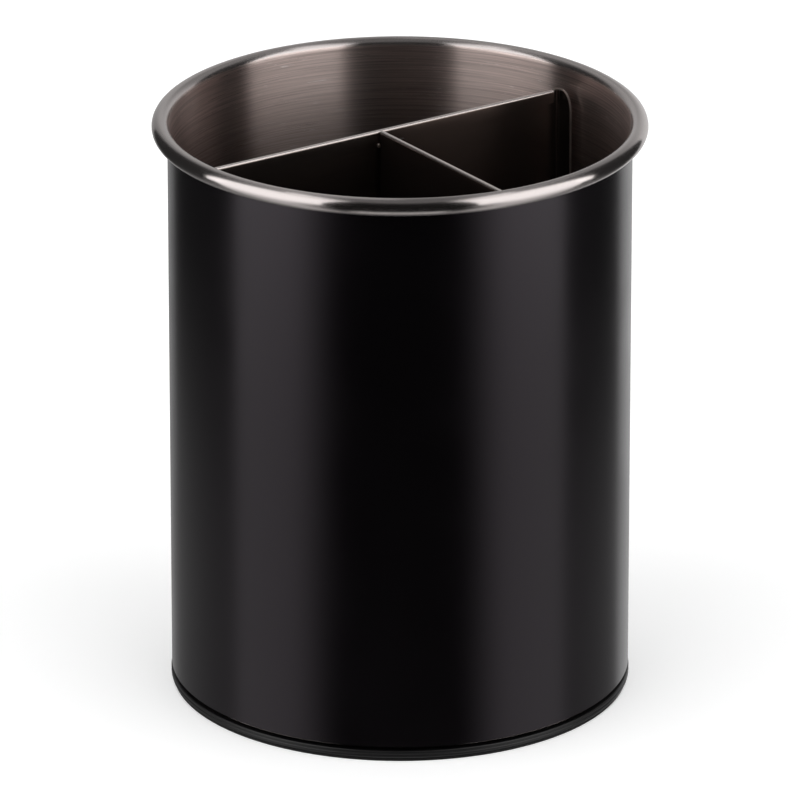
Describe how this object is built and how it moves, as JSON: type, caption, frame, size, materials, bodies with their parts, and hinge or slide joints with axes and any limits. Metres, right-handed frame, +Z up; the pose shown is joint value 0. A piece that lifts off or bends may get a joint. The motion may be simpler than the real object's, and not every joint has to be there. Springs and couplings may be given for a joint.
{
  "type": "rotating cutlery holder",
  "caption": "Round countertop canister that turns on a ball-bearing base, with a rolled rim and a lift-out T-shaped divider that makes three compartments for cutlery or utensils.",
  "frame": {"origin": "on the canister's axis, in the plane of the rubber foot's underside", "axes": "+Z up the canister's axis and along every joint; +X along the main divider; the two quarter compartments lie on the -Y side"},
  "size_m": [0.16, 0.16, 0.194],
  "materials": {
    "coated_steel": "stainless sheet, satin black coating outside, bare and brushed inside, bare and polished on the rolled rim",
    "brushed_steel": "brushed stainless sheet",
    "divider_steel": "satin stainless sheet with bright folded edges",
    "black_abs": "fine-textured black moulding",
    "white_abs": "natural white moulding",
    "black_rubber": "matt black rubber",
    "race_steel": "pressed steel, lightly oiled",
    "ball_steel": "polished bearing steel",
    "nylon": "natural nylon",
    "acetal": "natural white acetal",
    "brass": "turned brass",
    "zinc_plate": "bright zinc-plated steel"
  },
  "bodies": {
    "base": {"base_plate": "black_abs", "anti_slip_ring": "black_rubber", "lower_race": "race_steel", "axle_bush": "acetal", "hub_plug": "black_abs"},
    "cage": {"ball_cage": "nylon", "bearing_ball_1": "ball_steel", "bearing_ball_2": "ball_steel", "bearing_ball_3": "ball_steel", "bearing_ball_4": "ball_steel", "bearing_ball_5": "ball_steel", "bearing_ball_6": "ball_steel", "bearing_ball_7": "ball_steel", "bearing_ball_8": "ball_steel", "bearing_ball_9": "ball_steel", "bearing_ball_10": "ball_steel", "bearing_ball_11": "ball_steel", "bearing_ball_12": "ball_steel"},
    "canister": {"canister_wall": "coated_steel", "canister_floor": "brushed_steel", "turntable_plate": "white_abs", "upper_race": "race_steel", "floor_stud_1": "zinc_plate", "floor_stud_2": "zinc_plate", "floor_stud_3": "zinc_plate", "stud_washer_1": "zinc_plate", "stud_washer_2": "zinc_plate", "stud_washer_3": "zinc_plate", "stud_nut_1": "zinc_plate", "stud_nut_2": "zinc_plate", "stud_nut_3": "zinc_plate", "hub_insert": "brass", "pivot_screw": "zinc_plate", "pivot_washer": "zinc_plate", "wave_washer": "race_steel"},
    "divider": {"main_divider": "divider_steel", "cross_divider": "divider_steel"}
  },
  "joints": [
    {"name": "canister_spin", "type": "hinge", "parent": "base", "child": "canister", "pos_m": [0, 0, 0], "axis": [0, 0, 1], "continuous": true},
    {"name": "cage_orbit", "type": "hinge", "parent": "base", "child": "cage", "pos_m": [0, 0, 0], "axis": [0, 0, 1], "continuous": true},
    {"name": "divider_lift", "type": "slide", "parent": "canister", "child": "divider", "axis": [0, 0, 1], "range_m": [0, 0.185]}
  ],
  "couplings": [
    {"joint": "cage_orbit", "follows": "canister_spin", "ratio": 0.5}
  ]
}
